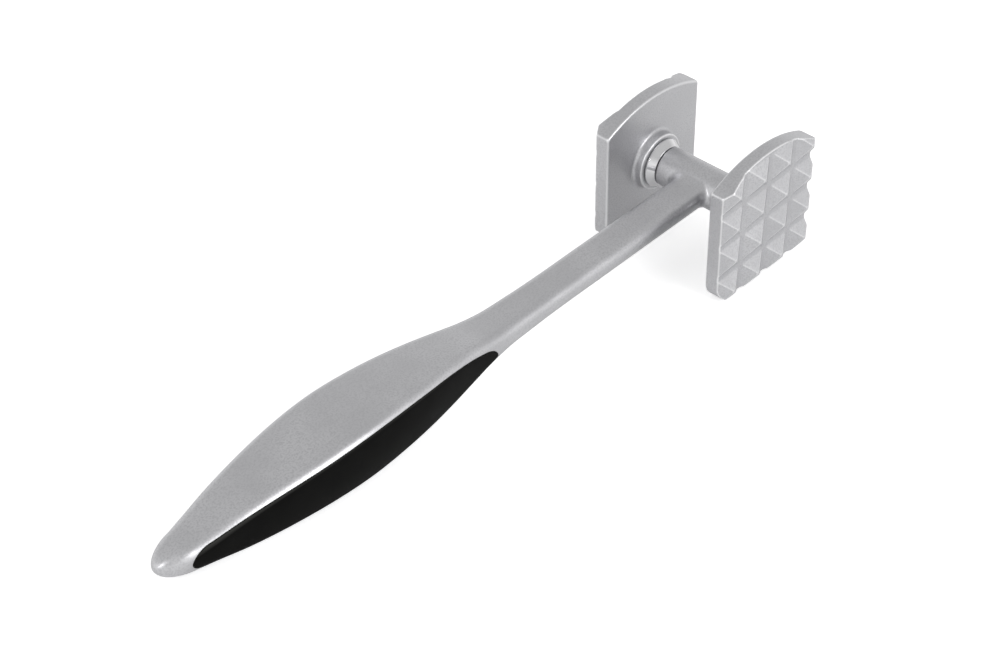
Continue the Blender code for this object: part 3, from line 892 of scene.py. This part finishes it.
def lens(side, gap, depth):
    """The lens on one side of the handle, from a floor under the surface to beyond it."""
    places = insert_places(gap)
    lower = []
    upper = []
    floor_depths = []
    for x in places:
        half_width, half_height, _, full, centre = handle_size(x)
        nose_tip = rounding(x - places[0], INSERT_NOSE_ROUNDING)
        tips = nose_tip * rounding(places[-1] - x, INSERT_NECK_ROUNDING)
        half = (half_height - INSERT_RIM - gap) * tips
        past = x / HANDLE_REACH + 1 - INSERT_DROP_START
        fall = max(past / (INSERT_END_SHARE - INSERT_DROP_START), 0)
        drop = INSERT_DROP * fall * fall
        lower.append((x, centre - half - drop * (1 - tips)))
        upper.append((x, centre + half - drop))
        floor_depths.append(side * (half_width + GRIP_SIDE_BULGE * full - depth))
    beyond = [side * (GRIP_WIDTH / 2 + OVERRUN)] * len(places)
    return slab("lens", lower, upper, floor_depths, beyond)


print("the pocket is", round(INSERT_DEPTH / MM, 1), "mm deep")

# %% [markdown]
# ## The handle casting
#
# Grip, shank and crossbar are one casting. The round crossbar is joined to the loft's end, and
# a bore is cut into each end of it for a stud. Softening then melts the seam between loft and
# crossbar into one skin. The pockets for the inserts are cut last, so their rims stay crisp.

# %% Build the handle casting
PLATE_GAP = 40.7 * MM
BOSS_HEIGHT = 3.5 * MM
COLLAR_THICKNESS = 2.9 * MM
SEAT_GAP = 0.15 * MM
STUD_BORE_RADIUS = 3.3 * MM
STUD_CROSSBAR_DEPTH = 9.0 * MM
BAR_STEPS = 128
HANDLE_GRID = 0.30 * MM
HANDLE_SMOOTH_PASSES = 6
CROSSBAR_HALF = PLATE_GAP / 2 - BOSS_HEIGHT - COLLAR_THICKNESS - 2 * SEAT_GAP


def round_bar(radius, start, stop):
    """A round bar along Y, from one y to another."""
    bar = bmesh.new()
    upright = Matrix.Rotation(math.pi / 2, 4, "X")
    place = Matrix.Translation((0, (start + stop) / 2, 0)) @ upright
    bmesh.ops.create_cone(
        bar, cap_ends=True, segments=BAR_STEPS, radius1=radius, radius2=radius,
        depth=stop - start, matrix=place,
    )
    return mesh_from("round_bar", bar)


bore_end = CROSSBAR_HALF - STUD_CROSSBAR_DEPTH - SEAT_GAP
casting = combined("handle", handle_loft(), [
    ("UNION", round_bar(CROSSBAR_RADIUS, -CROSSBAR_HALF, CROSSBAR_HALF)),
    ("DIFFERENCE", round_bar(STUD_BORE_RADIUS, bore_end, CROSSBAR_HALF + OVERRUN)),
    ("DIFFERENCE", round_bar(STUD_BORE_RADIUS, -CROSSBAR_HALF - OVERRUN, -bore_end)),
])
casting = softened("handle", casting, HANDLE_GRID, HANDLE_SMOOTH_PASSES)
casting = combined("handle", casting, [
    ("DIFFERENCE", lens(1, 0, INSERT_DEPTH)),
    ("DIFFERENCE", lens(-1, 0, INSERT_DEPTH)),
])
add_piece("handle", casting, "handle_casting", CAST_ALUMINIUM)

# %% [markdown]
# ## The grip inserts
#
# An insert is moulded to the grip's own surface, so it is the loft again, cut by the smaller
# lens. Using the loft keeps it flush with the metal round it, however the grip swells.

# %% Build both inserts
for side_name, side in (("left", 1), ("right", -1)):
    outline = lens(side, INSERT_GAP, INSERT_DEPTH - INSERT_GAP)
    pad = combined("insert", handle_loft(), [("INTERSECT", outline)])
    name = f"soft_insert_{side_name}"
    add_piece(name, pad, f"grip_insert_{side_name}", SOFT_TOUCH_BLACK)

# %% [markdown]
# ## The head plates' outline
#
# From the side a plate has a flat foot, two round lower corners, straight sides and an arched
# top with tight shoulders. Arcs that meet without a kink draw it: the shoulder's centre is
# worked out so that its small arc touches both the straight side and the wide arch.

# %% Draw a plate's outline
PLATE_WIDTH = 44.8 * MM
PLATE_RISE = 24.1 * MM
PLATE_DROP = 22.9 * MM
ARCH_RISE = 5.5 * MM
FOOT_RADIUS = 6.4 * MM
SHOULDER_RADIUS = 1.0 * MM
OUTLINE_ARC_STEPS = 24
CROWN_STEPS = 40
EDGE_STEPS = 5


def arc(centre, radius, start, stop, steps):
    """Points along a part of a circle."""
    angles = np.linspace(start, stop, steps + 1)
    return [(centre[0] + radius * math.cos(a), centre[1] + radius * math.sin(a)) for a in angles]


def plate_outline():
    """The points round a plate, seen along the crossbar."""
    half = PLATE_WIDTH / 2
    arch_radius = (half**2 + ARCH_RISE**2) / (2 * ARCH_RISE)
    arch_centre = PLATE_RISE - arch_radius
    shoulder_across = half - SHOULDER_RADIUS
    shoulder_reach = arch_radius - SHOULDER_RADIUS
    shoulder_up = arch_centre + math.sqrt(shoulder_reach**2 - shoulder_across**2)
    shoulder_angle = math.atan2(shoulder_up - arch_centre, shoulder_across)
    foot = (half - FOOT_RADIUS, FOOT_RADIUS - PLATE_DROP)
    right = arc(foot, FOOT_RADIUS, -math.pi / 2, 0, OUTLINE_ARC_STEPS)
    right += arc((shoulder_across, shoulder_up), SHOULDER_RADIUS, 0, shoulder_angle, EDGE_STEPS)
    right += arc((0, arch_centre), arch_radius, shoulder_angle, math.pi / 2, CROWN_STEPS)[1:]
    return right + [(-across, up) for across, up in reversed(right[:-1])]


print("a plate's outline has", len(plate_outline()), "points")

# %% [markdown]
# ## A plate's blank
#
# One extrusion of the outline gives the blank, as deep as the tips of the teeth that are cut
# into it next. Only the rim of the inner face gets its rounding here, with a bevel, because the
# rim on the other side is where the teeth are cut off.

# %% Make a plate's blank
PLATE_THICKNESS = 5.0 * MM
PLATE_EDGE_RADIUS = 0.7 * MM
ROUND_PROFILE = 0.5
TOOTH_HEIGHT = 2.9 * MM


def plate_blank():
    """The outline extruded along Y from the inner face, whose rim is rounded."""
    blank = bmesh.new()
    inner = [blank.verts.new((across, 0, up)) for across, up in plate_outline()]
    face = blank.faces.new(inner)
    grown = bmesh.ops.extrude_face_region(blank, geom=[face], use_keep_orig=True)
    outer = [item for item in grown["geom"] if isinstance(item, bmesh.types.BMVert)]
    bmesh.ops.translate(blank, vec=(0, PLATE_THICKNESS + TOOTH_HEIGHT, 0), verts=outer)
    rim = list(face.edges)
    bmesh.ops.bevel(
        blank, geom=rim, offset=PLATE_EDGE_RADIUS, segments=EDGE_STEPS,
        profile=ROUND_PROFILE, affect="EDGES",
    )
    return mesh_from("plate_blank", blank)


print("the blank is", round((PLATE_THICKNESS + TOOTH_HEIGHT) / MM, 1), "mm deep")

# %% [markdown]
# ## The teeth
#
# Four rows of four low pyramids stand on the striking face, cut off by the plate's outline where
# they reach it. A pyramid is a cone with four sides. All sixteen stand on a flat block, and
# the plate is what the block and the blank have in common. The field of teeth sits a little
# towards the far end of the mallet on both plates, so the two plates mirror each other.

# %% Build the toothed block
TOOTH_COUNT = 4
TOOTH_FLANKS = 4
TOOTH_PITCH = 12.15 * MM
TOOTH_BASE_SHARE = 0.85
TOOTH_TIP_SHARE = 0.03
TOOTH_TIP_GAIN = 0.12 * MM
TOOTH_FIELD_DROP = 0.5 * MM
TOOTH_FIELD_SHIFT = 1.0 * MM


def tooth_field(shift):
    """All the pyramids of one face, their feet sunk into the block behind them."""
    height = TOOTH_HEIGHT + TOOTH_TIP_GAIN
    slope = TOOTH_PITCH * (TOOTH_BASE_SHARE - TOOTH_TIP_SHARE) / 2 / height
    sink = TOOTH_PITCH * (1 - TOOTH_BASE_SHARE) / 4 / slope
    foot = TOOTH_PITCH * TOOTH_BASE_SHARE / 2 + sink * slope
    tip = TOOTH_PITCH * TOOTH_TIP_SHARE / 2
    upright = Matrix.Rotation(-math.pi / 2, 4, "X") @ Matrix.Rotation(math.pi / 4, 4, "Z")
    field = bmesh.new()
    for column in range(TOOTH_COUNT):
        for row in range(TOOTH_COUNT):
            x = (column - (TOOTH_COUNT - 1) / 2) * TOOTH_PITCH + shift
            z = (row - (TOOTH_COUNT - 1) / 2) * TOOTH_PITCH - TOOTH_FIELD_DROP
            middle = PLATE_THICKNESS + (height - sink) / 2
            bmesh.ops.create_cone(
                field, cap_ends=True, segments=TOOTH_FLANKS, radius1=foot * math.sqrt(2),
                radius2=tip * math.sqrt(2), depth=height + sink,
                matrix=Matrix.Translation((x, middle, z)) @ upright,
            )
    return mesh_from("tooth_field", field)


def toothed_block(shift):
    """A flat block, bigger than the plate, with the pyramids on its outer face."""
    side = max(PLATE_WIDTH, PLATE_RISE + PLATE_DROP) + 2 * OVERRUN
    block = bmesh.new()
    bmesh.ops.create_cube(block, size=1)
    bmesh.ops.scale(block, vec=(side, PLATE_THICKNESS + OVERRUN, side), verts=block.verts)
    bmesh.ops.translate(block, vec=(0, (PLATE_THICKNESS - OVERRUN) / 2, 0), verts=block.verts)
    return combined("block", mesh_from("block", block), [("UNION", tooth_field(shift))])


print("teeth on a face:", TOOTH_COUNT**2)

# %% [markdown]
# ## The boss
#
# On its inner face a plate has a round boss that the collar sits on. It is a turned shape: one
# profile of radius against height, spun about the stud's axis, with a small flare at its foot.

# %% Turn the boss
BOSS_RADIUS = 9.8 * MM
BOSS_FILLET = 1.2 * MM
BOSS_CHAMFER = 0.3 * MM
FILLET_STEPS = 8
TURN_STEPS = 128


def turned(name, profile, closed=False):
    """A solid turned about Z from a profile of (radius, height), laid along Y."""
    shape = bmesh.new()
    points = [shape.verts.new((radius, 0, height)) for radius, height in profile]
    pairs = list(zip(points, points[1:]))
    if closed:
        pairs.append((points[-1], points[0]))
    edges = [shape.edges.new(pair) for pair in pairs]
    bmesh.ops.spin(
        shape, geom=points + edges, axis=(0, 0, 1), cent=(0, 0, 0), angle=math.tau,
        steps=TURN_STEPS, use_merge=True,
    )
    bmesh.ops.remove_doubles(shape, verts=shape.verts, dist=WELD)
    mesh = mesh_from(name, shape)
    mesh.transform(Matrix.Rotation(math.pi / 2, 4, "X"))
    return mesh


def boss():
    """The boss on a plate's inner face, with its foot sunk into the plate."""
    centre = (BOSS_RADIUS + BOSS_FILLET, BOSS_FILLET)
    flare = arc(centre, BOSS_FILLET, math.pi, 1.5 * math.pi, FILLET_STEPS)
    profile = [(0, BOSS_HEIGHT), (BOSS_RADIUS - BOSS_CHAMFER, BOSS_HEIGHT)]
    profile.append((BOSS_RADIUS, BOSS_HEIGHT - BOSS_CHAMFER))
    profile.extend(flare)
    root = -PLATE_THICKNESS / 2
    profile.extend([(BOSS_RADIUS + BOSS_FILLET, root), (0, root)])
    return turned("boss", profile)


print("boss", round(2 * BOSS_RADIUS / MM, 1), "mm across")

# %% [markdown]
# ## Wear and painted highlight on the ridges
#
# Tumbling and use polish a casting where it stands proud. Each vertex of a plate gets one
# value: how fast the normals open out along its edges, in radians per millimetre, evened out
# over its neighbours. It is high on ridges and rims and zero on flats, and the aluminium's
# material reads it to lighten the colour there, partly as wear and partly as a painted
# highlight. numpy works on all the edges at once, where a loop over so many is slow.

# %% Helpers that mark wear and painted highlight
WEAR_HIGHLIGHT_SPREAD = 2


def read(values, key, width, kind):
    """One property of every item of a mesh as rows of numbers."""
    flat = np.empty(len(values) * width, dtype=kind)
    values.foreach_get(key, flat)
    return flat.reshape(-1, width)


def neighbour_mean(edges, per_edge, count):
    """The mean, at each vertex, of two values per edge: one for each of its ends."""
    ends = edges.ravel()
    shares = np.bincount(ends, minlength=count)
    return np.bincount(ends, weights=per_edge.ravel(), minlength=count) / np.maximum(shares, 1)


def mark_wear_and_highlight(mesh):
    """Store on each vertex how sharply the surface bends outwards there."""
    places = read(mesh.vertices, "co", 3, float)
    normals = read(mesh.vertex_normals, "vector", 3, float)
    edges = read(mesh.edges, "vertices", 2, int)
    step = places[edges[:, 1]] - places[edges[:, 0]]
    turn = normals[edges[:, 1]] - normals[edges[:, 0]]
    bend = (turn * step).sum(axis=1) / (step * step).sum(axis=1) * MM
    wear_and_highlight = neighbour_mean(edges, np.stack((bend, bend), axis=1), len(places))
    for _ in range(WEAR_HIGHLIGHT_SPREAD):
        wear_and_highlight = (wear_and_highlight + neighbour_mean(edges, wear_and_highlight[edges[:, ::-1]], len(places))) / 2
    # this value lightens the ridges in the aluminium: part wear, part painted highlight
    stored = mesh.attributes.new(WEAR_HIGHLIGHT, "FLOAT", "POINT")
    stored.data.foreach_set("value", wear_and_highlight)
    print("wear from", round(wear_and_highlight.min(), 2), "to", round(wear_and_highlight.max(), 2))


print("wear is evened out", WEAR_HIGHLIGHT_SPREAD, "times")

# %% [markdown]
# ## The head plates
#
# Blank, teeth and boss come together, a bore takes the stud, and the plate is softened on a
# finer grid than the handle's, because the teeth's ridges are crisp and catch the light. The
# right plate is the left one turned half round, with its field of teeth moved the other way.

# %% Build both head plates
PLATE_GRID = 0.22 * MM
PLATE_SMOOTH_PASSES = 3
STUD_PLATE_DEPTH = 6.0 * MM
bore_bottom = STUD_PLATE_DEPTH + SEAT_GAP - BOSS_HEIGHT
plate_sides = (("left", 0, TOOTH_FIELD_SHIFT), ("right", math.pi, -TOOTH_FIELD_SHIFT))


def head_plate(shift):
    """A whole plate, its inner face at y = 0 and its teeth towards +Y."""
    plate = combined("plate", plate_blank(), [
        ("INTERSECT", toothed_block(shift)),
        ("UNION", boss()),
        ("DIFFERENCE", round_bar(STUD_BORE_RADIUS, -BOSS_HEIGHT - OVERRUN, bore_bottom)),
    ])
    return softened("plate", plate, PLATE_GRID, PLATE_SMOOTH_PASSES)


for side_name, turn, shift in plate_sides:
    mesh = head_plate(shift)
    # ridge value for wear and painted highlight
    mark_wear_and_highlight(mesh)
    mesh.transform(Matrix.Rotation(turn, 4, "Z") @ Matrix.Translation((0, PLATE_GAP / 2, 0)))
    name = f"toothed_plate_{side_name}"
    add_piece(name, mesh, f"head_plate_{side_name}", CAST_ALUMINIUM)

# %% [markdown]
# ## The collars
#
# Between boss and crossbar sits a polished ring: a short rim against the boss and a cone down to
# the crossbar. Small arcs at its edges are what draws the thin bright lines on polished metal.

# %% Turn both collars
COLLAR_RADIUS = 8.4 * MM
COLLAR_RIM = 0.8 * MM
COLLAR_LIP = 0.3 * MM
COLLAR_EDGE = 0.2 * MM


def collar():
    """One polished ring, from the boss at height 0 to the crossbar."""
    small = CROSSBAR_RADIUS + COLLAR_LIP
    cone = math.atan2(COLLAR_RADIUS - small, COLLAR_THICKNESS - COLLAR_RIM)
    profile = [(STUD_BORE_RADIUS, 0)]
    foot = (COLLAR_RADIUS - COLLAR_EDGE, COLLAR_EDGE)
    profile += arc(foot, COLLAR_EDGE, -math.pi / 2, 0, EDGE_STEPS)
    rim = (COLLAR_RADIUS - COLLAR_EDGE, COLLAR_RIM - COLLAR_EDGE)
    profile += arc(rim, COLLAR_EDGE, 0, cone, EDGE_STEPS)
    top = (small - COLLAR_EDGE, COLLAR_THICKNESS - COLLAR_EDGE)
    profile += arc(top, COLLAR_EDGE, cone, math.pi / 2, EDGE_STEPS)
    profile.append((STUD_BORE_RADIUS, COLLAR_THICKNESS))
    return turned("collar", profile, closed=True)


collar_seat = PLATE_GAP / 2 - BOSS_HEIGHT - SEAT_GAP
for side_name, turn in (("left", 0), ("right", math.pi)):
    mesh = collar()
    mesh.transform(Matrix.Rotation(turn, 4, "Z") @ Matrix.Translation((0, collar_seat, 0)))
    name = f"polished_collar_{side_name}"
    add_piece(name, mesh, f"plate_collar_{side_name}", POLISHED_STEEL)

# %% [markdown]
# ## The studs
#
# The studs are hidden inside. Their CAD solids have the right shape already, so they stay and
# only get the turned steel in place of the plain colour.

# %% Give the studs their steel
for name in ("plate_stud_left", "plate_stud_right"):
    for place in frame["nodes"][name].material_slots:
        place.material = TURNED_STEEL
    print(name, "keeps its solid")
